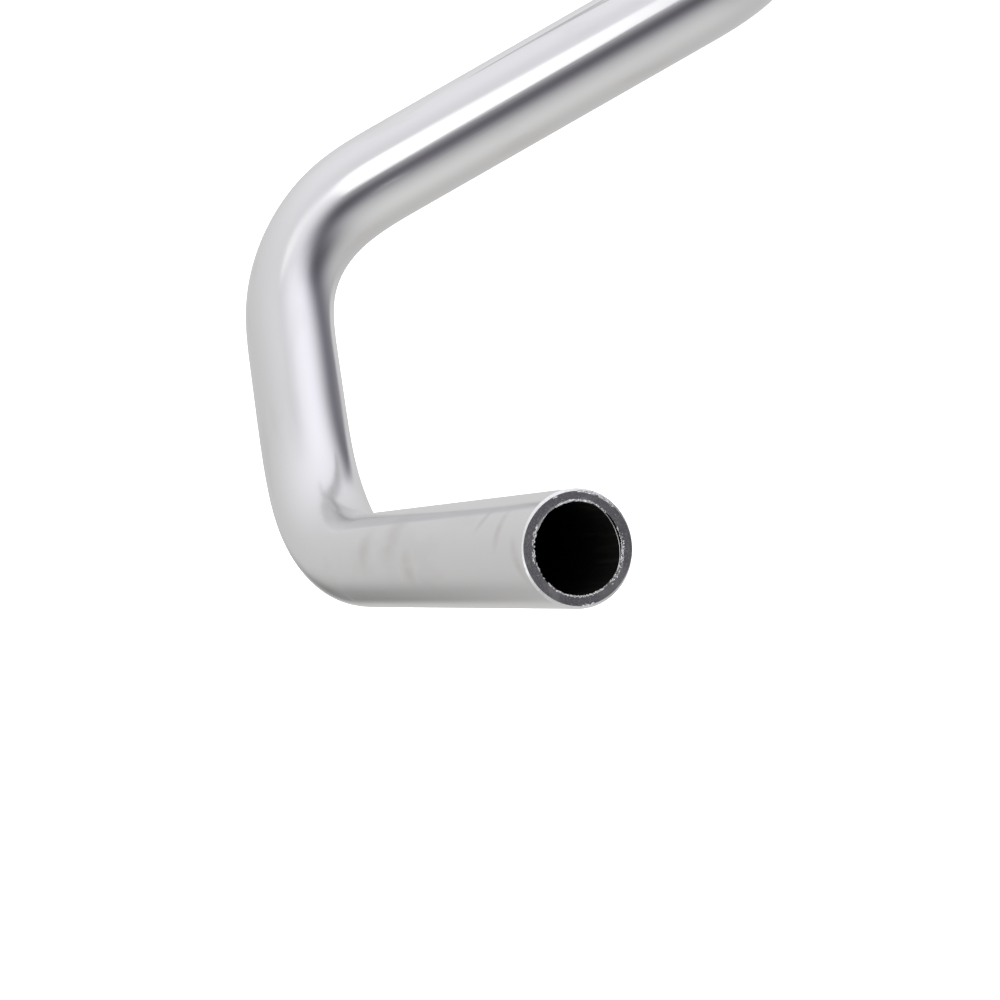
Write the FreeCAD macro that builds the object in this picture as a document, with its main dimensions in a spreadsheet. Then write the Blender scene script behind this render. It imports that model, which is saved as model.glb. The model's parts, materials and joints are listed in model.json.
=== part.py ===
import FreeCAD, Part
import Sketcher
import math
import os
from FreeCAD import Placement, Rotation, Vector

# A one-piece swept-back riser handlebar: one aluminium tube with three bends on each side.
# The frame's origin is the middle of the stem clamp. X points to the rider's right, Y forward and Z up.
# The right arm is drawn, and the left arm is its mirror image in the YZ plane.

doc = FreeCAD.newDocument("swept_handlebar")

sizes = doc.addObject("Spreadsheet::Sheet", "sizes")
driving_sizes = [
    ("centre_diameter", 25.4, "outside of the tube at the stem clamp and up both risers, mm"),
    ("shoulder_diameter", 23.4, "outside of the tube along the shoulders, mm"),
    ("grip_diameter", 22.2, "outside of the tube along the grips, mm"),
    ("wall_thickness", 2.3, "wall of the tube, mm"),
    ("centre_length", 120, "straight middle run that the stem clamps, mm"),
    ("riser_length", 104, "straight part of each riser, mm"),
    ("shoulder_length", 30, "straight sideways run on top of each riser, mm"),
    ("grip_length", 125, "straight run that takes the grip and levers, mm"),
    ("riser_bend_radius", 40, "radius of the tube's middle line at both ends of a riser, mm"),
    ("riser_bend_angle", 72, "turn of the tube at both ends of a riser, degrees"),
    ("grip_bend_radius", 50, "radius of the tube's middle line where the grip sweeps back, mm"),
    ("grip_bend_angle", 70, "turn of the tube where the grip sweeps back, degrees"),
    ("riser_lean_angle", 58, "slope of the risers' plane above the level of the grips, degrees"),
    ("bend_flattening", 0.055, "share by which the middle of a swaged bend is narrowed across the bend"),
    ("end_edge_break", 0.3, "chamfer round the outer edge of each sawn end, mm"),
]
for row, (name, value, note) in enumerate(driving_sizes, 1):
    sizes.set(f"A{row}", name)
    sizes.set(f"B{row}", str(value))
    sizes.setAlias(f"B{row}", name)
    sizes.set(f"C{row}", note)
doc.recompute()

centre_radius = "sizes.centre_diameter / 2"
shoulder_radius = "sizes.shoulder_diameter / 2"
grip_radius = "sizes.grip_diameter / 2"

# How a sketch counts its own points and which way a bend turns, seen from above its plane.
sketch_origin = (-1, 1)
start_index, end_index = 1, 2
to_the_left, to_the_right = 1, -1


def number(expression):
    result = sizes.evalExpression(expression)
    return float(getattr(result, "Value", result))


def bind(sketch, constraint, expression):
    index = sketch.addConstraint(constraint)
    sketch.setExpression(f"Constraints[{index}]", expression)


def join(sketch, previous, edge, edge_end):
    if previous == sketch_origin:
        sketch.addConstraint(Sketcher.Constraint("Coincident", edge, edge_end, *previous))
        sketch.addConstraint(Sketcher.Constraint("Horizontal", edge))
    else:
        sketch.addConstraint(Sketcher.Constraint("Tangent", *previous, edge, edge_end))


def draw_run(sketch, tip, heading, previous, length):
    end = tip + heading * number(length)
    edge = sketch.addGeometry(Part.LineSegment(tip, end))
    join(sketch, previous, edge, start_index)
    bind(sketch, Sketcher.Constraint("Distance", edge, number(length)), length)
    return end, heading, (edge, end_index)


def draw_bend(sketch, tip, heading, previous, radius, angle, side):
    # An arc in a sketch runs anticlockwise, so a bend to the right has its end at the tip.
    turn = side * math.radians(number(angle))
    inward = Vector(-heading.y, heading.x, 0) * side
    circle = Part.Circle(tip + inward * number(radius), Vector(0, 0, 1), number(radius))
    tip_angle = math.atan2(-inward.y, -inward.x)
    first, last = sorted((tip_angle, tip_angle + turn))
    arc = Part.ArcOfCircle(circle, first, last)
    edge = sketch.addGeometry(arc)
    if side == to_the_left:
        near, far, end = start_index, end_index, arc.EndPoint
    else:
        near, far, end = end_index, start_index, arc.StartPoint
    join(sketch, previous, edge, near)
    bind(sketch, Sketcher.Constraint("Radius", edge, number(radius)), radius)
    bind(sketch, Sketcher.Constraint("Angle", edge, abs(turn)), f"{angle} * 1 deg")
    heading = Rotation(Vector(0, 0, 1), math.degrees(turn)).multVec(heading)
    return end, heading, (edge, far)


# The tube's middle line is drawn in two flat sketches. The first is on the leaning plane of the risers:
# half of the centre run, the bend, the riser and the bend at its top.
riser_path = doc.addObject("Sketcher::SketchObject", "riser_path")
riser_path.Placement.Rotation = Rotation(Vector(1, 0, 0), number("sizes.riser_lean_angle"))
riser_path.setExpression("Placement.Rotation.Angle", "sizes.riser_lean_angle * 1 deg")
pen = (Vector(0, 0, 0), Vector(1, 0, 0), sketch_origin)
pen = draw_run(riser_path, *pen, "sizes.centre_length / 2")
pen = draw_bend(riser_path, *pen, "sizes.riser_bend_radius", "sizes.riser_bend_angle", to_the_left)
pen = draw_run(riser_path, *pen, "sizes.riser_length")
pen = draw_bend(riser_path, *pen, "sizes.riser_bend_radius", "sizes.riser_bend_angle", to_the_right)
doc.recompute()
centre_edge, riser_bend_edge, riser_edge, shoulder_bend_edge = "Edge1", "Edge2", "Edge3", "Edge4"

# The second is level and starts at the outermost point of the first: the shoulder, the bend and the grip.
outermost = max(riser_path.Shape.Vertexes, key=lambda vertex: vertex.X)
outermost_place = [vertex.isSame(outermost) for vertex in riser_path.Shape.Vertexes].index(True)
grip_path = doc.addObject("Sketcher::SketchObject", "grip_path")
grip_path.AttachmentSupport = [(riser_path, f"Vertex{outermost_place + 1}")]
grip_path.MapMode = "Translate"
pen = (Vector(0, 0, 0), Vector(1, 0, 0), sketch_origin)
pen = draw_run(grip_path, *pen, "sizes.shoulder_length")
pen = draw_bend(grip_path, *pen, "sizes.grip_bend_radius", "sizes.grip_bend_angle", to_the_right)
pen = draw_run(grip_path, *pen, "sizes.grip_length")
shoulder_edge, grip_bend_edge, grip_edge = "Edge1", "Edge2", "Edge3"


def attach(piece, path, edge, mode, share):
    piece.AttachmentSupport = [(path, edge)]
    piece.MapMode = mode
    piece.MapPathParameter = share


# A section's own X axis stands square to the plane of its bend, so that all seams of a bend are in line.
quarter_turn = Placement(Vector(0, 0, 0), Rotation(Vector(0, 0, 1), 90))


def attach_section(section, path, edge, share):
    attach(section, path, edge, "FrenetNB", share)
    section.AttachmentOffset = quarter_turn


def cylinder(name, path, edge, radius, length):
    # A piece on the far end of an edge runs back along that edge.
    run = doc.addObject("Part::Cylinder", name)
    attach(run, path, edge, "NormalToEdge", 1)
    run.setExpression("Radius", radius)
    run.setExpression("Height", length)
    return run


def hollow(name, outside, inside):
    tube = doc.addObject("Part::Cut", name)
    tube.Base = outside
    tube.Tool = inside
    return tube


def straight_tube(name, path, edge, radius, length):
    outside = cylinder(f"{name}_outside", path, edge, radius, length)
    inside = cylinder(f"{name}_bore", path, edge, f"{radius} - sizes.wall_thickness", length)
    return hollow(name, outside, inside)


def sweep(name, sections, path, edge):
    solid = doc.addObject("Part::Sweep", name)
    solid.Sections = sections
    solid.Spine = (path, [edge])
    solid.Solid = True
    solid.Frenet = True
    return solid


def round_section(name, path, edge, share, radius):
    section = doc.addObject("Part::Circle", name)
    attach_section(section, path, edge, share)
    section.setExpression("Radius", radius)
    return section


def round_bend(name, path, edge, radius):
    section = round_section(f"{name}_section", path, edge, 0, radius)
    return sweep(name, [section], path, edge)


def bent_tube(name, path, edge, radius):
    outside = round_bend(f"{name}_outside", path, edge, radius)
    inside = round_bend(f"{name}_bore", path, edge, f"{radius} - sizes.wall_thickness")
    return hollow(name, outside, inside)


# Through a swaged bend the section eases from one size to the other, and from round to oval and back.
# Its ovals stand at these shares of the arc, with the long axis square to the plane of the bend.
strong_swage, slight_swage = (0.25, 0.5, 0.75), (0.5,)


def oval_section(name, path, edge, share, radius, flattening, inset):
    section = doc.addObject("Part::Ellipse", name)
    attach_section(section, path, edge, share)
    section.setExpression("MajorRadius", f"({radius}) * (1 + {flattening}) - {inset}")
    section.setExpression("MinorRadius", f"({radius}) * (1 - {flattening}) - {inset}")
    return section


def swaged_bend(name, path, edge, oval_shares, first_radius, last_radius, inset):
    sections = [round_section(f"{name}_first", path, edge, 0, f"{first_radius} - {inset}")]
    for share in oval_shares:
        eased = share * share * (3 - 2 * share)
        radius = f"{first_radius} * {1 - eased} + {last_radius} * {eased}"
        flattening = f"sizes.bend_flattening * {math.sin(math.pi * share) ** 2:.3f}"
        oval_name = f"{name}_oval_{len(sections)}"
        sections.append(oval_section(oval_name, path, edge, share, radius, flattening, inset))
    sections.append(round_section(f"{name}_last", path, edge, 1, f"{last_radius} - {inset}"))
    return sweep(name, sections, path, edge)


def swaged_tube(name, path, edge, oval_shares, first_radius, last_radius):
    bend = (path, edge, oval_shares, first_radius, last_radius)
    outside = swaged_bend(f"{name}_outside", *bend, "0")
    inside = swaged_bend(f"{name}_bore", *bend, "sizes.wall_thickness")
    return hollow(name, outside, inside)


centre = straight_tube("centre", riser_path, centre_edge, centre_radius, "sizes.centre_length")
riser_bend = bent_tube("riser_bend", riser_path, riser_bend_edge, centre_radius)
riser = straight_tube("riser", riser_path, riser_edge, centre_radius, "sizes.riser_length")

# The tube is swaged down in two steps, through the bend on top of the riser and the bend to the grip.
# Both bends are to the right, so their arcs start at the narrower end.
top_bend = (riser_path, shoulder_bend_edge, strong_swage, shoulder_radius, centre_radius)
shoulder_bend = swaged_tube("shoulder_bend", *top_bend)
shoulder = straight_tube("shoulder", grip_path, shoulder_edge, shoulder_radius, "sizes.shoulder_length")
side_bend = (grip_path, grip_bend_edge, slight_swage, grip_radius, shoulder_radius)
grip_bend = swaged_tube("grip_bend", *side_bend)

# The grip ends in a narrow cone outside, which breaks the edge of the sawn end. The bore stays sharp.
wall_length = "sizes.grip_length - sizes.end_edge_break"
grip_wall = cylinder("grip_wall", grip_path, grip_edge, grip_radius, wall_length)
grip_wall.setExpression("AttachmentOffset.Base.z", "sizes.end_edge_break")
edge_break = doc.addObject("Part::Cone", "edge_break")
attach(edge_break, grip_path, grip_edge, "NormalToEdge", 1)
edge_break.setExpression("Radius1", f"{grip_radius} - sizes.end_edge_break")
edge_break.setExpression("Radius2", grip_radius)
edge_break.setExpression("Height", "sizes.end_edge_break")
grip_outside = doc.addObject("Part::MultiFuse", "grip_outside")
grip_outside.Shapes = [grip_wall, edge_break]
bore_radius = f"{grip_radius} - sizes.wall_thickness"
grip_bore = cylinder("grip_bore", grip_path, grip_edge, bore_radius, "sizes.grip_length")
grip = hollow("grip", grip_outside, grip_bore)

right_arm = doc.addObject("Part::MultiFuse", "right_arm")
right_arm.Shapes = [riser_bend, riser, shoulder_bend, shoulder, grip_bend, grip]
left_arm = doc.addObject("Part::Mirroring", "left_arm")
left_arm.Source = right_arm
left_arm.Normal = Vector(1, 0, 0)
handlebar = doc.addObject("Part::MultiFuse", "handlebar")
handlebar.Shapes = [centre, right_arm, left_arm]
doc.recompute()

for piece in doc.Objects:
    if "Invalid" in piece.State or "Error" in piece.State:
        raise RuntimeError(f"{piece.Label}: {piece.State}")
    if hasattr(piece, "Shape") and (piece.Shape.isNull() or not piece.Shape.isValid()):
        raise RuntimeError(f"{piece.Label}: its shape is empty or not valid")
if len(handlebar.Shape.Solids) != 1:
    raise RuntimeError("the tube is not one solid")

os.makedirs("parts", exist_ok=True)
handlebar.Shape.exportStep(f"parts/{handlebar.Label}.step")
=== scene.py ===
import json
import math
import bpy
from mathutils import Matrix, Vector

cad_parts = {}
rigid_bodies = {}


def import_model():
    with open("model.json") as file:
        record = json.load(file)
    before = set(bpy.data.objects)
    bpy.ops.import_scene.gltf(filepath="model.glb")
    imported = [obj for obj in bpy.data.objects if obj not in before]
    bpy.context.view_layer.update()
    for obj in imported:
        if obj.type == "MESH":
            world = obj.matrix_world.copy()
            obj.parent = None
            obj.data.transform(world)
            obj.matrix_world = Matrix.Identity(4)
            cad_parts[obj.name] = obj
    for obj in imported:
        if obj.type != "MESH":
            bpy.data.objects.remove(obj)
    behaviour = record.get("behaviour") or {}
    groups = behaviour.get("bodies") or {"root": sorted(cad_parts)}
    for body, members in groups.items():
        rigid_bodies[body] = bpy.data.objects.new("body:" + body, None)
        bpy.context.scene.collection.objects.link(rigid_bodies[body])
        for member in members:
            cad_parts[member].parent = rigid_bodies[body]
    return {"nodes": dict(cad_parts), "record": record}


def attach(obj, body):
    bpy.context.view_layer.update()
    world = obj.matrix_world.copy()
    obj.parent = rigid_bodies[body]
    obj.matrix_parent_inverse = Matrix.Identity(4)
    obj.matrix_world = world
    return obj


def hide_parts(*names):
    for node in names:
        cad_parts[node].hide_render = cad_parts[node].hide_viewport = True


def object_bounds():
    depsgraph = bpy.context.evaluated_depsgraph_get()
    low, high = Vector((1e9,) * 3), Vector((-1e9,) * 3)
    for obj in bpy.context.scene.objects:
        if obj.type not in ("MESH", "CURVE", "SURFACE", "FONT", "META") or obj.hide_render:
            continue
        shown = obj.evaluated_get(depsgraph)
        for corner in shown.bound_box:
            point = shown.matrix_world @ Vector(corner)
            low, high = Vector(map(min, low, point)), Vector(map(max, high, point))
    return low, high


for leftover in list(bpy.data.objects):
    bpy.data.objects.remove(leftover)
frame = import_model()
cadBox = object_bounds()
mountSizes = {mount["name"]: mount["dims"] for mount in frame["record"]["mounts"]}
mm = 0.001                                   # the frame is in metres, the sizes below in millimetres
print("frame loaded:", sorted(frame["nodes"]))


# Helpers that shorten the writing of node trees.
def feed(tree, socket, value):
    if isinstance(value, bpy.types.NodeSocket):
        tree.links.new(value, socket)
    else:
        socket.default_value = value


def addNode(tree, kind, settings=None, sockets=None):
    node = tree.nodes.new(kind)
    for name, value in (settings or {}).items():
        setattr(node, name, value)
    for name, value in (sockets or {}).items():
        feed(tree, node.inputs[name], value)
    return node


def calc(tree, operation, *values):
    node = addNode(tree, "ShaderNodeMath", {"operation": operation})
    for socket, value in zip(node.inputs, values):
        feed(tree, socket, value)
    return node.outputs[0]


def vectorCalc(tree, operation, *values):
    node = addNode(tree, "ShaderNodeVectorMath", {"operation": operation})
    for socket, value in zip(node.inputs, values):
        feed(tree, socket, value)
    return node.outputs["Value" if operation == "DOT_PRODUCT" else "Vector"]


def scaled(tree, vector, factor):
    node = addNode(tree, "ShaderNodeVectorMath", {"operation": "SCALE"}, {"Scale": factor})
    feed(tree, node.inputs[0], vector)
    return node.outputs["Vector"]


def noise(tree, coordinate, scale, detail=2.0):
    sockets = {"Vector": coordinate, "Scale": scale, "Detail": detail}
    return addNode(tree, "ShaderNodeTexNoise", None, sockets).outputs["Fac"]


def ramp(tree, value, low, high, lowResult=0.0, highResult=1.0):
    sockets = {"Value": value, "From Min": low, "From Max": high, "To Min": lowResult, "To Max": highResult}
    settings = {"interpolation_type": "SMOOTHSTEP"}
    return addNode(tree, "ShaderNodeMapRange", settings, sockets).outputs["Result"]


def newTree(name, kind, inputs, outputs):
    tree = bpy.data.node_groups.new(name, kind)
    for label, socketKind in inputs:
        tree.interface.new_socket(label, in_out="INPUT", socket_type="NodeSocket" + socketKind)
    for label, socketKind in outputs:
        tree.interface.new_socket(label, in_out="OUTPUT", socket_type="NodeSocket" + socketKind)
    return tree, tree.nodes.new("NodeGroupInput").outputs, tree.nodes.new("NodeGroupOutput").inputs


def grown(name, startMesh, tree, values):
    piece = bpy.data.objects.new(name, startMesh)
    bpy.context.scene.collection.objects.link(piece)
    modifier = piece.modifiers.new(name, "NODES")
    modifier.node_group = tree
    for item in tree.interface.items_tree:
        if item.in_out == "INPUT" and item.name in values:
            modifier[item.identifier] = values[item.name]
    evaluated = piece.evaluated_get(bpy.context.evaluated_depsgraph_get())
    plain = bpy.data.meshes.new_from_object(evaluated)
    piece.modifiers.remove(modifier)
    piece.data = plain
    print(name, "grown:", len(plain.polygons), "faces")
    return piece


# A mesh of loose points that carry the named vectors and numbers into a geometry tree.
def markedMesh(name, spots, place, vectors, numbers):
    mesh = bpy.data.meshes.new(name)
    mesh.from_pydata([spot[place] for spot in spots], [], [])
    for label in vectors:
        layer = mesh.attributes.new(label, "FLOAT_VECTOR", "POINT")
        layer.data.foreach_set("vector", [number for spot in spots for number in spot[label]])
    for label in numbers:
        layer = mesh.attributes.new(label, "FLOAT", "POINT")
        layer.data.foreach_set("value", [float(spot[label]) for spot in spots])
    return mesh


def namedValue(tree, name, kind="FLOAT"):
    node = addNode(tree, "GeometryNodeInputNamedAttribute", {"data_type": kind}, {"Name": name})
    return node.outputs[0]


def changed(tree, kind, geometry, sockets=None, settings=None):
    sockets = {"Geometry": geometry, **(sockets or {})}
    return addNode(tree, "GeometryNode" + kind, settings, sockets).outputs[0]


def stored(tree, geometry, name, value, kind="FLOAT", domain="POINT"):
    settings = {"data_type": kind, "domain": domain}
    return changed(tree, "StoreNamedAttribute", geometry, {"Name": name, "Value": value}, settings)


def finished(tree, geometry, finish):
    return changed(tree, "SetMaterial", changed(tree, "RealizeInstances", geometry), {"Material": finish})


# Shader groups that more than one finish uses: stretched noise above a threshold.
def makeMask(name, detail):
    inputs = [("Coordinate", "Vector"), ("Stretch", "Vector"), ("Threshold", "Float"), ("Softness", "Float")]
    tree, given, result = newTree(name, "ShaderNodeTree", inputs, [("Mask", "Float")])
    stretched = vectorCalc(tree, "MULTIPLY", given["Coordinate"], given["Stretch"])
    end = calc(tree, "ADD", given["Threshold"], given["Softness"])
    feed(tree, result["Mask"], ramp(tree, noise(tree, stretched, 1.0, detail), given["Threshold"], end))
    return tree


scratches = makeMask("fineScratches", 4.0)
smudges = makeMask("handlingSmudges", 3.0)


def groupMask(tree, group, coordinate, look):
    sockets = {"Coordinate": coordinate, **look}
    return addNode(tree, "ShaderNodeGroup", {"node_tree": group}, sockets).outputs["Mask"]


def bumped(tree, shader, height, strength, distance):
    sockets = {"Height": height, "Strength": strength, "Distance": distance}
    feed(tree, shader.inputs["Normal"], addNode(tree, "ShaderNodeBump", None, sockets).outputs["Normal"])


def mixColour(tree, mask, first, second):
    node = addNode(tree, "ShaderNodeMix", {"data_type": "RGBA"})
    feed(tree, node.inputs[0], mask)
    feed(tree, node.inputs[6], first)
    feed(tree, node.inputs[7], second)
    return node.outputs[2]


def newFinish(name, values):
    material = bpy.data.materials.new(name)
    material.use_nodes = True
    tree = material.node_tree
    shader = tree.nodes["Principled BSDF"]
    for socket, value in values.items():
        shader.inputs[socket].default_value = value
    return material, tree, shader


def readAttribute(tree, name, output="Vector"):
    node = addNode(tree, "ShaderNodeAttribute", {"attribute_type": "GEOMETRY", "attribute_name": name})
    return node.outputs[output]


polish = {
    "silver": (0.86, 0.86, 0.87, 1),
    "smudged": (0.715, 0.708, 0.695, 1),
    "roughness": 0.11,
    "smudgedRoughness": 0.24,
    "bentRoughness": 0.11,                   # added where bending has dulled the polish
    "blotches": {"Stretch": (34, 120, 120), "Threshold": 0.52, "Softness": 0.16},
    "blotchStrength": 0.22,
    "drawLines": {"Stretch": (40, 2600, 2600), "Threshold": 0.45, "Softness": 0.2},
    "drawLineStrength": 0.1, "drawLineHeight": 0.00002,
    "wipes": [                               # finger strokes on the left grip, in metres
        {"at": (-0.2792, -0.0577, 0.1409), "along": (-0.82, 0.39, 0.42), "length": 0.0066, "width": 0.0022},
        {"at": (-0.2740, -0.0486, 0.1399), "along": (-0.40, 0.80, 0.45), "length": 0.0042, "width": 0.0018},
        {"at": (-0.2887, -0.0648, 0.1417), "along": (-0.98, -0.10, -0.17), "length": 0.0066, "width": 0.0022},
        {"at": (-0.2544, 0.0178, 0.1417), "along": (-0.98, -0.09, 0.17), "length": 0.0064, "width": 0.0064},
        {"at": (-0.2592, 0.0009, 0.1412), "along": (-0.55, 0.75, 0.37), "length": 0.0092, "width": 0.0086},
        {"at": (-0.2678, -0.0077, 0.1417), "along": (-0.97, 0.15, -0.17), "length": 0.0056, "width": 0.0056},
    ],
    "wipeStrength": 0.85, "wipeReach": 1.15,
    "wipePatches": {"Stretch": (60, 200, 200), "Threshold": 0.16, "Softness": 0.42},
}


def wipeMask(tree, place, wipe):
    along = Vector(wipe["along"]).normalized()
    offset = vectorCalc(tree, "SUBTRACT", place, wipe["at"])
    lengthwise = vectorCalc(tree, "DOT_PRODUCT", offset, along)
    sideways = vectorCalc(tree, "SUBTRACT", offset, scaled(tree, tuple(along), lengthwise))
    shape = vectorCalc(tree, "ADD", scaled(tree, sideways, 1 / wipe["width"]),
                       scaled(tree, tuple(along), calc(tree, "DIVIDE", lengthwise, wipe["length"])))
    away = calc(tree, "SQRT", vectorCalc(tree, "DOT_PRODUCT", shape, shape))
    return ramp(tree, away, polish["wipeReach"], 0.0)


def makePolish():
    material, tree, shader = newFinish("satinPolish", {"Metallic": 1.0})
    onTube = readAttribute(tree, "tubePlace")
    place = addNode(tree, "ShaderNodeTexCoord").outputs["Object"]
    blotch = groupMask(tree, smudges, onTube, polish["blotches"])
    blotch = calc(tree, "MULTIPLY", blotch, polish["blotchStrength"])
    patchy = groupMask(tree, smudges, onTube, polish["wipePatches"])
    for wipe in polish["wipes"]:
        stroke = calc(tree, "MULTIPLY", wipeMask(tree, place, wipe), patchy)
        blotch = calc(tree, "MAXIMUM", blotch, calc(tree, "MULTIPLY", stroke, polish["wipeStrength"]))
    lines = groupMask(tree, scratches, onTube, polish["drawLines"])
    feed(tree, shader.inputs["Base Color"], mixColour(tree, blotch, polish["silver"], polish["smudged"]))
    roughness = ramp(tree, blotch, 0, 1, polish["roughness"], polish["smudgedRoughness"])
    bent = readAttribute(tree, "bendShare", "Fac")
    roughness = calc(tree, "MULTIPLY_ADD", bent, polish["bentRoughness"], roughness)
    feed(tree, shader.inputs["Roughness"], roughness)
    bumped(tree, shader, lines, polish["drawLineStrength"], polish["drawLineHeight"])
    return material


sawn = {
    "dark": (0.41, 0.405, 0.40, 1),
    "bright": (0.72, 0.71, 0.70, 1),
    "lines": {"Stretch": (2600, 2600, 12000), "Threshold": 0.55, "Softness": 0.2},
    "stains": {"Stretch": (160, 160, 160), "Threshold": 0.42, "Softness": 0.3},
    "lineShare": 0.3, "stainShare": 0.35,    # how much each of them brightens the face
    "roughness": 0.26, "stainedRoughness": 0.40,
    "lineStrength": 0.35, "lineHeight": 0.00004,
}


def makeSawn():
    material, tree, shader = newFinish("sawnFace", {"Metallic": 1.0})
    place = addNode(tree, "ShaderNodeTexCoord").outputs["Object"]
    lines = groupMask(tree, scratches, place, sawn["lines"])
    stain = groupMask(tree, smudges, place, sawn["stains"])
    worn = calc(tree, "MULTIPLY", lines, sawn["lineShare"])
    worn = calc(tree, "MULTIPLY_ADD", stain, sawn["stainShare"], worn)
    feed(tree, shader.inputs["Base Color"], mixColour(tree, worn, sawn["dark"], sawn["bright"]))
    roughness = ramp(tree, stain, 0, 1, sawn["roughness"], sawn["stainedRoughness"])
    feed(tree, shader.inputs["Roughness"], roughness)
    bumped(tree, shader, lines, sawn["lineStrength"], sawn["lineHeight"])
    return material


bareMetal = {
    "colour": (0.95, 0.95, 0.96, 1),
    "grain": {"Stretch": (1500, 1500, 1500), "Threshold": 0.45, "Softness": 0.2},
    "burrRoughness": (0.12, 0.3),            # least and most
    "edgeRoughness": (0.4, 0.6),
}


def makeBareMetal(name, roughness):
    material, tree, shader = newFinish(name, {"Metallic": 1.0, "Base Color": bareMetal["colour"]})
    place = addNode(tree, "ShaderNodeTexCoord").outputs["Object"]
    grain = groupMask(tree, smudges, place, bareMetal["grain"])
    feed(tree, shader.inputs["Roughness"], ramp(tree, grain, 0, 1, *roughness))
    return material


# Painted shade: the inside of the tube is coloured nearly black, as the bore lies in shade, with faint drawn
# lines mixed in.
paintedBoreShade = {
    "dark": (0.010, 0.010, 0.009, 1),
    "light": (0.022, 0.022, 0.021, 1),
    "lines": {"Stretch": (60, 700, 700), "Threshold": 0.5, "Softness": 0.2},
    "metallic": 0.6, "roughness": 0.6,
}


# The bore's finish carries painted shade: a near-black base colour stands in for the dark of the tube's
# inside.
def makeBoreShade():
    values = {"Metallic": paintedBoreShade["metallic"], "Roughness": paintedBoreShade["roughness"]}
    material, tree, shader = newFinish("paintedShadeBore", values)
    lines = groupMask(tree, scratches, readAttribute(tree, "tubePlace"), paintedBoreShade["lines"])
    feed(tree, shader.inputs["Base Color"], mixColour(tree, lines, paintedBoreShade["dark"], paintedBoreShade["light"]))
    return material


polishFinish, sawnFinish, boreShadeFinish = makePolish(), makeSawn(), makeBoreShade()
burrFinish = makeBareMetal("brightBurr", bareMetal["burrRoughness"])
edgeFinish = makeBareMetal("brokenEdge", bareMetal["edgeRoughness"])
print("finishes made")


# The tube. Its right half is walked from the stem to the sawn end, and its left half mirrors that.
tube = {
    "riserLength": 104, "shoulderLength": 30,
    "riserBendRadius": 40, "riserBendAngle": 72, "leanAngle": 58,
    "gripBendRadius": 50, "gripBendAngle": 70,
    "bendEase": 0.28,                        # share of a bend in which it tightens, and again relaxes
    "shoulderDiameter": 23.4,
    "flattening": 0.055,                     # of the swaged bends, across the bend
    "edgeBreak": 0.55, "edgeBack": 0.32,     # the filed outer edge of each end
    "sideShare": 0.4,                        # of the filing, left at the sides of the end
    "burrHeight": 0.16, "burrReach": 0.22,   # of the ragged lip round each bore
    "burrStart": 0.92, "burrBack": 0.6,      # where it starts in the wall, and how deep it ends in the bore
    "burrGrain": 620.0, "burrFrom": 0.36, "burrFull": 0.72,
    "sawDepth": 0.012, "sawGrain": 2200.0,
    "segments": 180, "bendStep": 1.5, "faceRings": 7,
    "boreStep": 4,                           # the hidden bore has one ring to so many outside
    "sharpAngle": 28, "weld": 0.002,
}
centreLength = mountSizes["stem_clamp"]["length_mm"]
gripLength = mountSizes["right_end_bore"]["length_mm"]
boreRadius = mountSizes["right_end_bore"]["r_mm"]
centreRadius, gripRadius = mountSizes["stem_clamp"]["r_mm"], mountSizes["right_grip"]["r_mm"]
shoulderSwage = (centreRadius - tube["shoulderDiameter"] / 2) / (centreRadius - gripRadius)
polished, edge, sawnRegion, lip, bore = range(5)


def station(place, heading, side, inward, swage=0.0, oval=0.0):
    return {"place": place, "heading": heading, "side": side, "inward": inward, "swage": swage, "oval": oval}


def straight(stations, length):
    last = stations[-1]
    stations.append({**last, "place": last["place"] + last["heading"] * length * mm, "oval": 0.0})


def eased(share):
    easing = tube["bendEase"]
    if share < easing:
        return share * share / (2 * easing * (1 - easing))
    if share > 1 - easing:
        return 1 - (1 - share) ** 2 / (2 * easing * (1 - easing))
    return (share - easing / 2) / (1 - easing)


# A bend that starts and ends softly, through the crown of the plain arc and with the same straight runs.
def planBend(radius, angle):
    turn = math.radians(angle)
    steps = 2 * math.ceil(angle / tube["bendStep"] / 2)
    points = [Vector((0, 0))]
    for step in range(steps):
        course = turn * eased((step + 0.5) / steps)
        points.append(points[-1] + Vector((math.cos(course), math.sin(course))) / steps)
    reach = points[-1].length / 2 / math.cos(turn / 2)
    crown = (Vector((reach, 0)) - points[steps // 2]).length
    size = radius * (1 / math.cos(turn / 2) - 1) / crown
    lead = reach * size - radius * math.tan(turn / 2)          # how much earlier it starts than the arc
    shares = [eased(step / steps) for step in range(steps + 1)]
    return {"angle": angle, "points": [point * size for point in points], "shares": shares, "lead": lead}


def bend(stations, plan, axis, side, swageTo=0.0):
    start = stations[-1]
    inward = axis.cross(start["heading"]) * side
    change = swageTo - start["swage"]
    for point, share in zip(plan["points"][1:], plan["shares"][1:]):
        turn = Matrix.Rotation(math.radians(plan["angle"] * share) * side, 3, axis)
        swage = start["swage"] + change * share * share * (3 - 2 * share)
        oval = math.sin(math.pi * share) ** 2 if change else 0.0
        place = start["place"] + (start["heading"] * point.x + inward * point.y) * mm
        axes = [turn @ vector for vector in (start["heading"], start["side"], inward)]
        stations.append(station(place, *axes, swage, oval))


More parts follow.
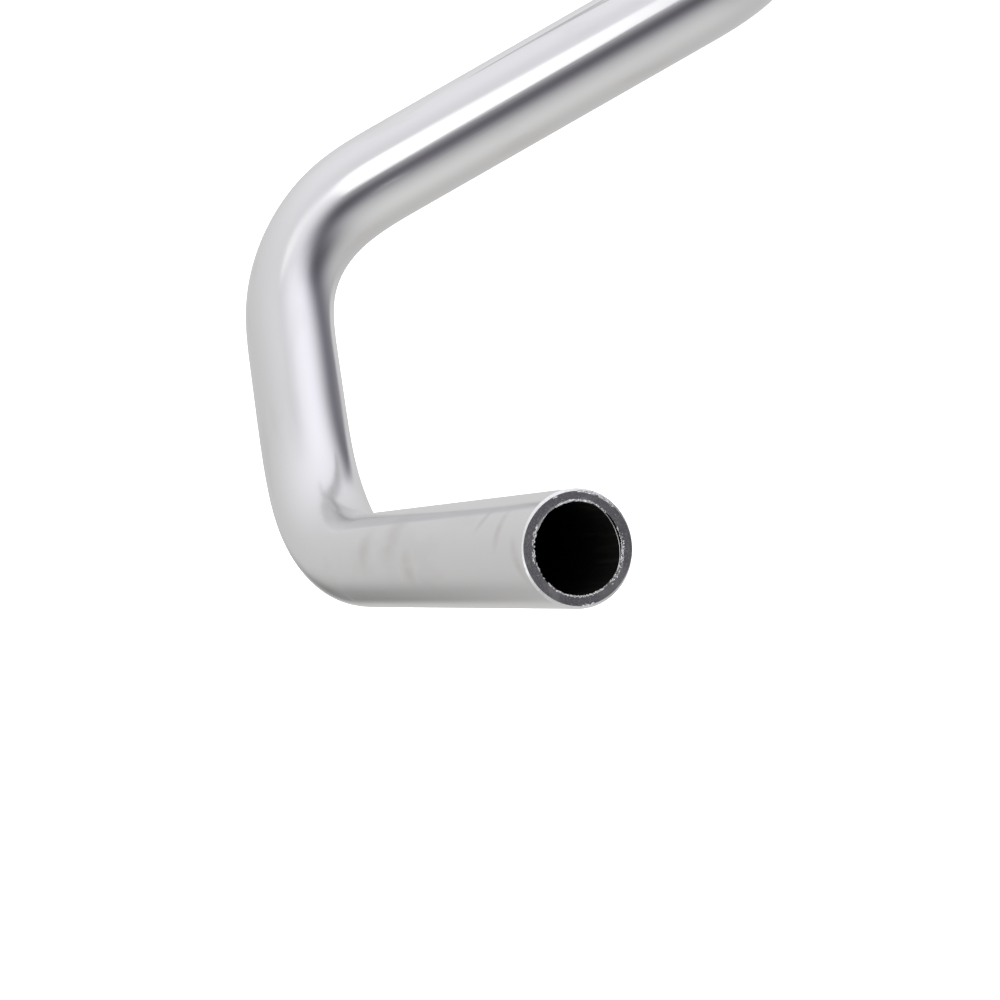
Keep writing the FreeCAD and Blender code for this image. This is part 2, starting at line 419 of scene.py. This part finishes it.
def walkHalf():
    lean = math.radians(tube["leanAngle"])
    leanAxis = Vector((0, -math.sin(lean), math.cos(lean)))    # square to the plane of the risers
    riserBend = planBend(tube["riserBendRadius"], tube["riserBendAngle"])
    gripBend = planBend(tube["gripBendRadius"], tube["gripBendAngle"])
    half = [station(Vector((0, 0, 0)), Vector((1, 0, 0)), Vector((0, 0, 1)), Vector((0, 0, 1)))]
    straight(half, centreLength / 2 - riserBend["lead"])
    bend(half, riserBend, leanAxis, 1)
    straight(half, tube["riserLength"] - 2 * riserBend["lead"])
    bend(half, riserBend, leanAxis, -1, shoulderSwage)
    straight(half, tube["shoulderLength"] - riserBend["lead"] - gripBend["lead"])
    bend(half, gripBend, Vector((0, 0, -1)), 1, 1.0)
    straight(half, gripLength - gripBend["lead"])
    return half


def mirrored(spot):
    heading = spot["heading"] * -1
    flip = Matrix.Diagonal((-1, 1, 1))
    turned = {key: flip @ spot[key] for key in ("place", "side", "inward")}
    return {**spot, **turned, "heading": flip @ heading}


def wallRing(spot, inset, region, back=0.0, edgeShare=0.0, axis=None, lipShare=0.0):
    place = spot["place"] - (axis or spot["heading"]) * back * mm
    shares = {"inset": inset, "edge": edgeShare, "lip": lipShare}
    return {**spot, **shares, "place": place, "region": region, "axis": axis or Vector((0, 0, 0))}


def sawnEnd(spot, outward):
    rings = [wallRing(spot, 0.0, edge, tube["edgeBack"], axis=outward)]
    for count in range(tube["faceRings"]):
        share = tube["burrStart"] * count / (tube["faceRings"] - 1)
        rings.append(wallRing(spot, share, sawnRegion, edgeShare=1 - share, axis=outward))
    rings[-1]["region"] = lip
    rings.append(wallRing(spot, 1.0, lip, axis=outward, lipShare=1.0))
    rings.append(wallRing(spot, 1.0, bore, tube["burrBack"], axis=outward))
    return rings


def closedLoop():
    half = walkHalf()
    middleLine = [mirrored(spot) for spot in reversed(half[1:])] + half[1:]
    leftEnd = sawnEnd(middleLine[0], -middleLine[0]["heading"])
    rightEnd = sawnEnd(middleLine[-1], middleLine[-1]["heading"])
    outside = [wallRing(spot, 0.0, polished) for spot in middleLine[1:-1]]
    inside = [wallRing(spot, 1.0, bore) for spot in middleLine[-2:0:-tube["boreStep"]]]
    leftEnd.reverse()
    for ring, following in zip(leftEnd, leftEnd[1:]):
        ring["region"] = following["region"]
    leftEnd[-1]["region"] = polished
    loop = outside + rightEnd + inside + leftEnd
    return loop + loop[:1]


def stationMesh(loop):
    distance = 0.0
    for ring, previous in zip(loop, loop[:1] + loop):
        distance += (ring["place"] - previous["place"]).length
        ring["distance"] = distance
    vectors = ("side", "inward", "heading", "axis")
    numbers = ("swage", "oval", "inset", "edge", "lip", "region", "distance")
    return markedMesh("tubeStations", loop, "place", vectors, numbers)


def makeTubeTree():
    inputs = [("Stations", "Geometry"), ("Station Count", "Int"), ("Segments", "Int")]
    sizes = ("Centre Radius", "Grip Radius", "Wall", "Edge Break", "Flattening",
             "Burr Height", "Burr Reach", "Saw Depth")
    inputs += [(name, "Float") for name in sizes]
    tree, given, result = newTree("sweptTube", "GeometryNodeTree", inputs, [("Mesh", "Geometry")])
    sockets = {"Size X": 1.0, "Size Y": 1.0, "Vertices X": given["Station Count"],
               "Vertices Y": calc(tree, "ADD", given["Segments"], 1)}
    sheet = addNode(tree, "GeometryNodeMeshGrid", None, sockets).outputs["Mesh"]
    position = tree.nodes.new("GeometryNodeInputPosition").outputs[0]
    across = addNode(tree, "ShaderNodeSeparateXYZ", None, {"Vector": position}).outputs
    lastStation = calc(tree, "SUBTRACT", given["Station Count"], 1)
    along = calc(tree, "MULTIPLY", calc(tree, "ADD", across["X"], 0.5), lastStation)
    nearest = calc(tree, "ROUND", along)
    turn = calc(tree, "MULTIPLY", calc(tree, "ADD", across["Y"], 0.5), 2 * math.pi)

    def atStation(name, kind="FLOAT", index=nearest):
        value = position if name == "position" else namedValue(tree, name, kind)
        sockets = {"Geometry": given["Stations"], "Value": value, "Index": index}
        return addNode(tree, "GeometryNodeSampleIndex", {"data_type": kind}, sockets).outputs[0]

    place, side, inward, heading, axis = [
        atStation(name, "FLOAT_VECTOR") for name in ("position", "side", "inward", "heading", "axis")]
    swage, oval, inset, edgeShare, lipShare = [
        atStation(name) for name in ("swage", "oval", "inset", "edge", "lip")]

    # The section: a circle of the swaged radius, made oval across the bend, less the wall or the broken edge.
    cross = vectorCalc(tree, "CROSS_PRODUCT", side, heading)
    outward = vectorCalc(tree, "ADD", scaled(tree, side, calc(tree, "COSINE", turn)),
                         scaled(tree, cross, calc(tree, "SINE", turn)))
    square = vectorCalc(tree, "CROSS_PRODUCT", heading, inward)
    narrowed = scaled(tree, inward, vectorCalc(tree, "DOT_PRODUCT", outward, inward))
    widened = scaled(tree, square, vectorCalc(tree, "DOT_PRODUCT", outward, square))
    ovalPart = scaled(tree, vectorCalc(tree, "SUBTRACT", widened, narrowed),
                      calc(tree, "MULTIPLY", oval, given["Flattening"]))
    change = calc(tree, "SUBTRACT", given["Grip Radius"], given["Centre Radius"])
    radius = calc(tree, "MULTIPLY_ADD", swage, change, given["Centre Radius"])
    upright = calc(tree, "ABSOLUTE", vectorCalc(tree, "DOT_PRODUCT", outward, inward))
    filed = calc(tree, "MULTIPLY", edgeShare, ramp(tree, upright, 0, 1, tube["sideShare"], 1))
    broken = calc(tree, "MULTIPLY", filed, given["Edge Break"])
    cut = calc(tree, "MULTIPLY_ADD", inset, given["Wall"], broken)
    offset = vectorCalc(tree, "SUBTRACT", scaled(tree, vectorCalc(tree, "ADD", outward, ovalPart), radius),
                        scaled(tree, outward, cut))
    smooth = vectorCalc(tree, "ADD", place, offset)

    # The saw leaves the end face rough and a ragged lip round the bore.
    grain = noise(tree, smooth, tube["burrGrain"], 5.0)
    ragged = ramp(tree, grain, tube["burrFrom"], tube["burrFull"])
    torn = calc(tree, "MULTIPLY", lipShare, ragged)
    uneven = calc(tree, "SUBTRACT", noise(tree, smooth, tube["sawGrain"], 1.0), 0.5)
    marks = calc(tree, "MULTIPLY", uneven, given["Saw Depth"])
    lift = scaled(tree, axis, calc(tree, "MULTIPLY_ADD", torn, given["Burr Height"], marks))
    reach = scaled(tree, outward, calc(tree, "MULTIPLY", torn, given["Burr Reach"]))
    final = vectorCalc(tree, "SUBTRACT", vectorCalc(tree, "ADD", smooth, lift), reach)

    # What the finishes read: the region of each strip and the place on the tube as if it were straight.
    strip = atStation("region", "FLOAT", calc(tree, "FLOOR", along))
    sockets = {"X": atStation("distance"), "Y": calc(tree, "MULTIPLY", calc(tree, "COSINE", turn), radius),
               "Z": calc(tree, "MULTIPLY", calc(tree, "SINE", turn), radius)}
    straightened = addNode(tree, "ShaderNodeCombineXYZ", None, sockets).outputs[0]
    geometry = stored(tree, sheet, "region", strip, domain="FACE")
    geometry = stored(tree, geometry, "tubePlace", straightened, "FLOAT_VECTOR")
    geometry = stored(tree, geometry, "bendShare", oval)
    geometry = changed(tree, "SetPosition", geometry, {"Position": final})
    geometry = changed(tree, "MergeByDistance", geometry, {"Distance": tube["weld"] * mm})
    bentBy = tree.nodes.new("GeometryNodeInputMeshEdgeAngle").outputs[0]
    sharp = calc(tree, "GREATER_THAN", bentBy, math.radians(tube["sharpAngle"]))
    geometry = changed(tree, "SetShadeSmooth", geometry, {"Shade Smooth": True}, {"domain": "FACE"})
    sockets = {"Selection": sharp, "Shade Smooth": False}
    geometry = changed(tree, "SetShadeSmooth", geometry, sockets, {"domain": "EDGE"})
    geometry = changed(tree, "RealizeInstances", geometry)
    region = namedValue(tree, "region")
    finishes = {polished: polishFinish, edge: edgeFinish, bore: boreShadeFinish}
    finishes.update({sawnRegion: sawnFinish, lip: sawnFinish})
    for number, finish in finishes.items():
        chosen = calc(tree, "COMPARE", region, float(number), 0.1)
        geometry = changed(tree, "SetMaterial", geometry, {"Selection": chosen, "Material": finish})
    feed(tree, result["Mesh"], geometry)
    return tree


loop = closedLoop()
tubeValues = {
    "Station Count": len(loop), "Segments": tube["segments"], "Flattening": tube["flattening"],
    "Centre Radius": centreRadius * mm, "Grip Radius": gripRadius * mm,
    "Wall": (gripRadius - boreRadius) * mm, "Edge Break": tube["edgeBreak"] * mm,
    "Burr Height": tube["burrHeight"] * mm, "Burr Reach": tube["burrReach"] * mm,
    "Saw Depth": tube["sawDepth"] * mm,
}
bentTube = grown("bentTube", stationMesh(loop), makeTubeTree(), tubeValues)
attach(bentTube, "root")
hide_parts("handlebar")
print("tube placed")


# What the saw left round both ends. Angles run from straight down towards the middle of the bar.
burr = {
    "patches": [                             # flecks of burr, sizes in millimetres and degrees
        {"start": 0, "sweep": 360, "count": 150, "radius": 8.76, "jitter": 0.07, "long": 0.34, "wide": 0.13},
        {"start": 62, "sweep": 52, "count": 52, "radius": 8.84, "jitter": 0.12, "long": 0.50, "wide": 0.19},
        {"start": 150, "sweep": 48, "count": 52, "radius": 9.02, "jitter": 0.26, "long": 0.36, "wide": 0.14},
        {"start": 240, "sweep": 62, "count": 52, "radius": 8.80, "jitter": 0.12, "long": 0.48, "wide": 0.18},
        {"start": -48, "sweep": 60, "count": 70, "radius": 9.08, "jitter": 0.34, "long": 0.32, "wide": 0.13},
        {"start": 44, "sweep": 44, "count": 50, "radius": 10.52, "jitter": 0.14, "long": 0.62, "wide": 0.22},
        {"start": 112, "sweep": 6, "count": 5, "radius": 10.35, "jitter": 0.10, "long": 0.45, "wide": 0.18},
        {"start": 271, "sweep": 13, "count": 10, "radius": 10.50, "jitter": 0.12, "long": 0.50, "wide": 0.16},
        {"start": 0, "sweep": 360, "count": 16, "radius": 9.80, "jitter": 0.90, "long": 0.16, "wide": 0.05},
    ],
    "seed": 7,
    "height": 0.09,
    "leastLong": 0.25, "leastWide": 0.4,     # shares of a patch's sizes
    "leastHigh": 0.5, "mostHigh": 1.3,
    "looseTurn": 0.5, "looseTilt": 0.7,      # how far a fleck strays from lying along the end's rim
}
curl = {
    "radius": 8.74, "dip": 0.42, "depth": 0.12, "thickness": 0.085,
    "start": -26, "sweep": 90,
    "leastDip": 0.8, "strayDip": 0.4, "strayRate": 9.0,
    "points": 90, "sides": 6,
}
endVectors = ("middle", "down", "inboard", "outward")
patchNumbers = ("start", "sweep", "count", "radius", "jitter", "long", "wide")


def endFrames():
    tip = walkHalf()[-1]
    right = {"middle": tip["place"], "outward": tip["heading"], "down": Vector((0, 0, -1)),
             "inboard": tip["heading"].cross(Vector((0, 0, 1)))}
    flip = Matrix.Diagonal((-1, 1, 1))
    return [right, {name: flip @ vector for name, vector in right.items()}]


def roundEnd(tree, angle, radius, lift):
    middle, down, inboard, outward = [namedValue(tree, name, "FLOAT_VECTOR") for name in endVectors]
    spoke = vectorCalc(tree, "ADD", scaled(tree, down, calc(tree, "COSINE", angle)),
                       scaled(tree, inboard, calc(tree, "SINE", angle)))
    place = vectorCalc(tree, "ADD", middle, scaled(tree, spoke, radius))
    return spoke, outward, vectorCalc(tree, "ADD", place, scaled(tree, outward, lift))


def makeFleckTree():
    inputs = [("Patches", "Geometry"), ("Seed", "Int"), ("Height", "Float")]
    tree, given, result = newTree("sawnFlecks", "GeometryNodeTree", inputs, [("Mesh", "Geometry")])

    def chance(low, high, step, kind="FLOAT"):
        node = addNode(tree, "FunctionNodeRandomValue", {"data_type": kind})
        limits = [socket for socket in node.inputs if socket.enabled]
        feed(tree, limits[0], low)
        feed(tree, limits[1], high)
        feed(tree, node.inputs["Seed"], calc(tree, "ADD", given["Seed"], step))
        return next(socket for socket in node.outputs if socket.enabled)

    def strayed(vector, amount, step):
        stray = chance((-amount, -amount, -amount), (amount, amount, amount), step, "FLOAT_VECTOR")
        return vectorCalc(tree, "ADD", vector, stray)

    start, sweep, count, middleRadius, jitter, long, wide = [namedValue(tree, name) for name in patchNumbers]
    points = changed(tree, "DuplicateElements", given["Patches"], {"Amount": count}, {"domain": "POINT"})
    angle = calc(tree, "MULTIPLY_ADD", sweep, chance(0.0, 1.0, 1), start)
    radius = calc(tree, "MULTIPLY_ADD", jitter, chance(-1.0, 1.0, 2), middleRadius)
    spoke, outward, place = roundEnd(tree, angle, radius, given["Height"])
    points = changed(tree, "SetPosition", points, {"Position": place})
    loose = strayed(vectorCalc(tree, "CROSS_PRODUCT", outward, spoke), burr["looseTurn"], 3)
    tilted = strayed(outward, burr["looseTilt"], 4)
    turn = addNode(tree, "FunctionNodeAxesToRotation", {"primary_axis": "X", "secondary_axis": "Z"})
    feed(tree, turn.inputs[0], loose)
    feed(tree, turn.inputs[1], tilted)
    high = chance(burr["leastHigh"], burr["mostHigh"], 7)
    sockets = {"X": calc(tree, "MULTIPLY", long, chance(burr["leastLong"], 1.0, 5)),
               "Y": calc(tree, "MULTIPLY", wide, chance(burr["leastWide"], 1.0, 6)),
               "Z": calc(tree, "MULTIPLY", given["Height"], high)}
    size = addNode(tree, "ShaderNodeCombineXYZ", None, sockets).outputs[0]
    sockets = {"Radius": 1.0, "Subdivisions": 1}
    fleck = addNode(tree, "GeometryNodeMeshIcoSphere", None, sockets).outputs["Mesh"]
    sockets = {"Points": points, "Instance": fleck, "Rotation": turn.outputs[0], "Scale": size}
    flecks = addNode(tree, "GeometryNodeInstanceOnPoints", None, sockets).outputs[0]
    feed(tree, result["Mesh"], finished(tree, flecks, burrFinish))
    return tree


def makeCurlTree():
    inputs = [("Ends", "Geometry")]
    inputs += [(name, "Float") for name in ("Radius", "Dip", "Start", "Sweep", "Depth", "Thickness")]
    tree, given, result = newTree("burrCurl", "GeometryNodeTree", inputs, [("Mesh", "Geometry")])
    line = addNode(tree, "GeometryNodeCurvePrimitiveLine").outputs[0]
    sockets = {"Curve": line, "Count": curl["points"]}
    line = addNode(tree, "GeometryNodeResampleCurve", None, sockets).outputs[0]
    sockets = {"Points": given["Ends"], "Instance": line}
    lines = addNode(tree, "GeometryNodeInstanceOnPoints", None, sockets).outputs[0]
    lines = changed(tree, "RealizeInstances", lines)
    share = tree.nodes.new("GeometryNodeSplineParameter").outputs["Factor"]
    angle = calc(tree, "MULTIPLY_ADD", share, given["Sweep"], given["Start"])
    bulge = calc(tree, "SINE", calc(tree, "MULTIPLY", share, math.pi))
    stray = noise(tree, scaled(tree, (1, 1, 1), share), curl["strayRate"])
    wander = calc(tree, "MULTIPLY_ADD", stray, curl["strayDip"], curl["leastDip"])
    sag = calc(tree, "MULTIPLY", calc(tree, "MULTIPLY", bulge, wander), given["Dip"])
    radius = calc(tree, "SUBTRACT", given["Radius"], sag)
    sunk = calc(tree, "MULTIPLY", bulge, calc(tree, "MULTIPLY", given["Depth"], -1.0))
    place = roundEnd(tree, angle, radius, sunk)[2]
    lines = changed(tree, "SetPosition", lines, {"Position": place})
    sockets = {"Resolution": curl["sides"], "Radius": given["Thickness"]}
    profile = addNode(tree, "GeometryNodeCurvePrimitiveCircle", None, sockets).outputs[0]
    sockets = {"Curve": lines, "Profile Curve": profile, "Fill Caps": True}
    wire = addNode(tree, "GeometryNodeCurveToMesh", None, sockets).outputs[0]
    feed(tree, result["Mesh"], finished(tree, wire, burrFinish))
    return tree


ends = endFrames()
patches = [{**patch, **end} for patch in burr["patches"] for end in ends]
for patch in patches:
    for name in ("start", "sweep"):
        patch[name] = math.radians(patch[name])
    for name in ("radius", "jitter", "long", "wide"):
        patch[name] = patch[name] * mm
patchMesh = markedMesh("burrPatches", patches, "middle", endVectors, patchNumbers)
fleckValues = {"Seed": burr["seed"], "Height": burr["height"] * mm}
sawnFlecks = grown("sawnFlecks", patchMesh, makeFleckTree(), fleckValues)
curlValues = {
    "Radius": curl["radius"] * mm, "Dip": curl["dip"] * mm,
    "Depth": curl["depth"] * mm, "Thickness": curl["thickness"] * mm,
    "Start": math.radians(curl["start"]), "Sweep": math.radians(curl["sweep"]),
}
endMesh = markedMesh("burrEnds", ends, "middle", endVectors, ())
burrCurl = grown("burrCurl", endMesh, makeCurlTree(), curlValues)
for piece in (sawnFlecks, burrCurl):
    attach(piece, "root")
print("burr placed")


# The camera stands where the photograph's stood, rolled so that the rider's right points up in the picture.
camera = {
    "place": (-0.4129, -0.4002, 0.2880),
    "looksAlong": (0.3496, 0.8598, -0.3721),
    "pictureUp": (0.9235, -0.3832, -0.0179),
    "lens": 76.17, "nearest": 0.01,
}
cameraBack = -Vector(camera["looksAlong"]).normalized()
cameraRight = Vector(camera["pictureUp"]).cross(cameraBack).normalized()
cameraUp = cameraBack.cross(cameraRight)


def placeCamera():
    lens = bpy.data.cameras.new("photoCamera")
    lens.lens = camera["lens"]
    lens.clip_start = camera["nearest"]
    holder = bpy.data.objects.new("photoCamera", lens)
    axes = Matrix((cameraRight, cameraUp, cameraBack)).transposed()
    holder.matrix_world = Matrix.Translation(camera["place"]) @ axes.to_4x4()
    bpy.context.scene.collection.objects.link(holder)
    bpy.context.scene.camera = holder


placeCamera()
print("camera placed")


# The studio: pale surroundings with soft bright and dark areas and one white light box with crisp edges.
# Directions are given as seen from the camera: to its right, up and back over its shoulder.
studio = {
    "surroundings": (0.514, 0.508, 0.492),
    "brightAreas": [
        {"towards": (0.683, 0.389, 0.618), "sharpness": 3.2, "colour": (0.362, 0.357, 0.426)},
        {"towards": (0.0, 1.0, 0.02), "sharpness": 1.3, "colour": (0.396, 0.391, 0.438)},
        {"towards": (0.357, -0.911, 0.205), "sharpness": 8.5, "colour": (0.182, 0.182, 0.178)},
    ],
    "darkBand": {
        "across": (-0.357, 0.871, 0.337), "above": 0.343, "below": 0.42,
        "along": (0.849, 0.100, 0.519), "start": 0.05, "full": 0.28, "tint": (0.256, 0.250, 0.278),
    },
    "darkAreas": [
        {"towards": (0.363, -0.043, 0.931), "sharpness": 21.6, "amount": 0.527},
        {"towards": (0.940, -0.050, 0.337), "sharpness": 8.6, "amount": 0.685},
        {"towards": (-0.350, -0.279, -0.894), "sharpness": 92.0, "amount": 0.575},
        {"towards": (-0.230, -0.320, -0.919), "sharpness": 300.0, "amount": 0.36},
        {"towards": (-0.310, 0.700, 0.643), "sharpness": 24.0, "amount": 0.075},
    ],
    "lightBox": {
        "across": (-0.769, 0.637, -0.054), "from": -0.05, "to": 0.556, "sideEdge": 0.05,
        "along": (0.852, 0.521, 0.054), "end": 0.202, "endEdge": 0.03,
        "slantFrom": 0.06, "slant": 1.55,    # its upper side draws in towards the end
        "nearFrom": 0.2, "nearFull": 0.4,    # it stands on the camera's side of the tube
        "colour": (1.22, 1.22, 1.23),
    },
    "mirrored": {                            # what the tube shows where it mirrors itself
        "surroundings": (0.64, 0.64, 0.65),
        "brightAreas": [{"towards": (-0.500, 0.240, -0.832), "sharpness": 7.0, "colour": (0.20, 0.20, 0.21)}],
        "darkAreas": [{"towards": (0.740, 0.150, 0.656), "sharpness": 26.0, "amount": 0.62}],
    },
    "backdrop": (1, 1, 1),
    "floorSize": 60.0,
    "floorColour": (0.93, 0.93, 0.93, 1), "floorRoughness": 0.9,
    "overheadStrength": 4.0, "overheadSpread": 120,
}


def fromCamera(right, up, back):
    return (cameraRight * right + cameraUp * up + cameraBack * back).normalized()


def facing(tree, direction, towards):
    return vectorCalc(tree, "DOT_PRODUCT", direction, fromCamera(*towards))


def softSpot(tree, direction, area):
    short = calc(tree, "SUBTRACT", facing(tree, direction, area["towards"]), 1.0)
    return calc(tree, "EXPONENT", calc(tree, "MULTIPLY", short, area["sharpness"]))


def boxMask(tree, direction, box):
    across, along = facing(tree, direction, box["across"]), facing(tree, direction, box["along"])
    sideEdge, endEdge = box["sideEdge"], box["endEdge"]
    further = calc(tree, "MAXIMUM", calc(tree, "SUBTRACT", along, box["slantFrom"]), 0.0)
    slanted = calc(tree, "MULTIPLY_ADD", further, box["slant"], across)
    sides = [ramp(tree, slanted, box["to"] + sideEdge, box["to"] - sideEdge),
             ramp(tree, along, box["end"] + endEdge, box["end"] - endEdge),
             ramp(tree, facing(tree, direction, (0, 0, 1)), box["nearFrom"], box["nearFull"])]
    mask = ramp(tree, across, box["from"] - sideEdge, box["from"] + sideEdge)
    for side in sides:
        mask = calc(tree, "MULTIPLY", mask, side)
    return mask


def bandMask(tree, direction, band):
    across = facing(tree, direction, band["across"])
    upper = calc(tree, "GREATER_THAN", across, 0.0)
    width = calc(tree, "MULTIPLY_ADD", upper, band["above"] - band["below"], band["below"])
    share = calc(tree, "DIVIDE", across, width)
    profile = calc(tree, "EXPONENT", calc(tree, "MULTIPLY", calc(tree, "MULTIPLY", share, share), -1.0))
    reach = ramp(tree, facing(tree, direction, band["along"]), band["start"], band["full"])
    return calc(tree, "MULTIPLY", profile, reach)


def surroundingLight(tree, direction, sky):
    light = sky["surroundings"]
    for area in sky["brightAreas"]:
        light = vectorCalc(tree, "ADD", light, scaled(tree, area["colour"], softSpot(tree, direction, area)))
    for area in sky["darkAreas"]:
        kept = calc(tree, "MULTIPLY_ADD", softSpot(tree, direction, area), -area["amount"], 1.0)
        light = scaled(tree, light, kept)
    return light


def lightStudio():
    world = bpy.data.worlds.new("studio")
    world.use_nodes = True
    bpy.context.scene.world = world
    tree = world.node_tree
    direction = addNode(tree, "ShaderNodeTexCoord").outputs["Generated"]
    light = surroundingLight(tree, direction, studio)
    band = studio["darkBand"]
    shaded = vectorCalc(tree, "MULTIPLY", light, band["tint"])
    light = mixColour(tree, bandMask(tree, direction, band), light, shaded)
    box = studio["lightBox"]
    light = mixColour(tree, boxMask(tree, direction, box), light, (*box["colour"], 1))
    path = addNode(tree, "ShaderNodeLightPath").outputs
    again = calc(tree, "GREATER_THAN", path["Glossy Depth"], 1.5)        # seen by way of two mirrorings
    light = mixColour(tree, again, light, surroundingLight(tree, direction, studio["mirrored"]))
    shown = mixColour(tree, path["Is Camera Ray"], light, (*studio["backdrop"], 1))
    feed(tree, tree.nodes["Background"].inputs["Color"], shown)


def layFloor():
    reach = studio["floorSize"] / 2
    height = cadBox[0].z
    mesh = bpy.data.meshes.new("paleFloor")
    outline = [(-1, -1), (1, -1), (1, 1), (-1, 1)]
    mesh.from_pydata([(x * reach, y * reach, height) for x, y in outline], [], [(0, 1, 2, 3)])
    floor = bpy.data.objects.new("paleFloor", mesh)
    bpy.context.scene.collection.objects.link(floor)
    values = {"Base Color": studio["floorColour"], "Roughness": studio["floorRoughness"]}
    mesh.materials.append(newFinish("palePaper", values)[0])
    floor.visible_glossy = False             # the tube mirrors the studio, not the paper under it
    sun = bpy.data.lights.new("overhead", "SUN")
    sun.energy = studio["overheadStrength"]
    sun.angle = math.radians(studio["overheadSpread"])
    overhead = bpy.data.objects.new("overhead", sun)
    overhead.visible_glossy = False
    bpy.context.scene.collection.objects.link(overhead)


lightStudio()
layFloor()
bpy.context.scene.view_settings.view_transform = "Standard"
print("studio lit")
